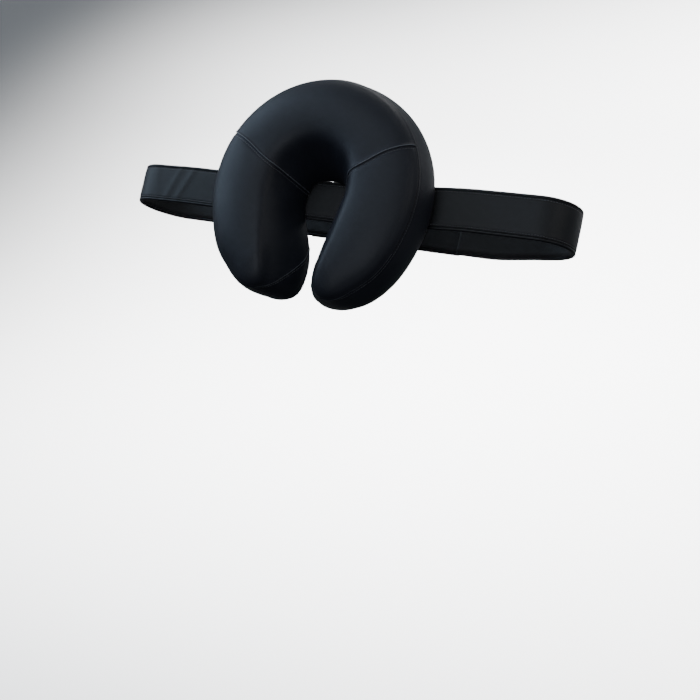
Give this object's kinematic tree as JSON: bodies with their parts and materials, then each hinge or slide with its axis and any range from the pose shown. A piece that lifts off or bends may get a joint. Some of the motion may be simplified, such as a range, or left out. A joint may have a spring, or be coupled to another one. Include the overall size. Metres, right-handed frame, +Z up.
{
  "type": "face cradle cushion",
  "caption": "Horseshoe face cushion with padded forehead and cheeks, held on a backrest by a wide strap with a hook-and-loop closure.",
  "frame": {"origin": "on the backrest's front face, at the middle of the cushion and of the strap's height", "axes": "+X along the strap to the right as seen from the front, +Z up the backrest towards the forehead end, -Y out of the backrest towards the face"},
  "size_m": [0.7363, 0.2011, 0.3269],
  "materials": {
    "black_vinyl": "fine-grained matt PU leather",
    "vinyl_welt": "rolled PU leather edge",
    "foam": "open-cell foam",
    "strap_padding": "thin foam padding",
    "black_webbing": "woven tape",
    "loop_cloth": "brushed loop cloth",
    "hook_tape": "hook tape",
    "zip_plastic": "moulded coil",
    "zip_metal": "black enamelled metal"
  },
  "bodies": {
    "strap": {"strap_core": "strap_padding", "strap_face": "black_vinyl", "strap_lining": "black_webbing", "strap_welt_upper": "vinyl_welt", "strap_welt_lower": "vinyl_welt", "strap_hook_pads": "hook_tape", "strap_end_binding": "vinyl_welt", "closure_loop_patch": "loop_cloth", "flap_anchor": "black_vinyl", "flap_fold": "black_vinyl"},
    "flap": {"flap_core": "strap_padding", "flap_face": "black_vinyl", "flap_lining": "black_webbing", "flap_welt_upper": "vinyl_welt", "flap_welt_lower": "vinyl_welt", "flap_hook_patch": "hook_tape", "flap_end_binding": "vinyl_welt", "pull_tab": "black_webbing"},
    "cushion": {"support_foam": "foam", "comfort_foam": "foam", "forehead_panel": "black_vinyl", "cheek_panel_left": "black_vinyl", "cheek_panel_right": "black_vinyl", "boxing_band": "black_vinyl", "base_panel": "loop_cloth", "zip_tape_upper": "black_webbing", "zip_tape_lower": "black_webbing", "zip_teeth_upper": "zip_plastic", "zip_teeth_lower": "zip_plastic", "zip_stops": "zip_metal"},
    "slider": {"zip_slider": "zip_metal"},
    "pull": {"zip_pull": "zip_metal"}
  },
  "joints": [
    {"name": "cushion_lift_off", "type": "slide", "parent": "strap", "child": "cushion", "axis": [0, -1, 0], "range_m": [0, 0.06]},
    {"name": "flap_peel", "type": "hinge", "parent": "strap", "child": "flap", "pos_m": [0.187, 0.10995, 0], "axis": [0, 0, -1], "range_deg": [0, 120]},
    {"name": "zip_slide", "type": "slide", "parent": "cushion", "child": "slider", "axis": [1, 0, 0], "range_m": [0, 0.143]},
    {"name": "pull_swing", "type": "hinge", "parent": "slider", "child": "pull", "pos_m": [-0.0735, -0.0037, 0.096], "axis": [0, 0, 1], "range_deg": [0, 170]}
  ]
}
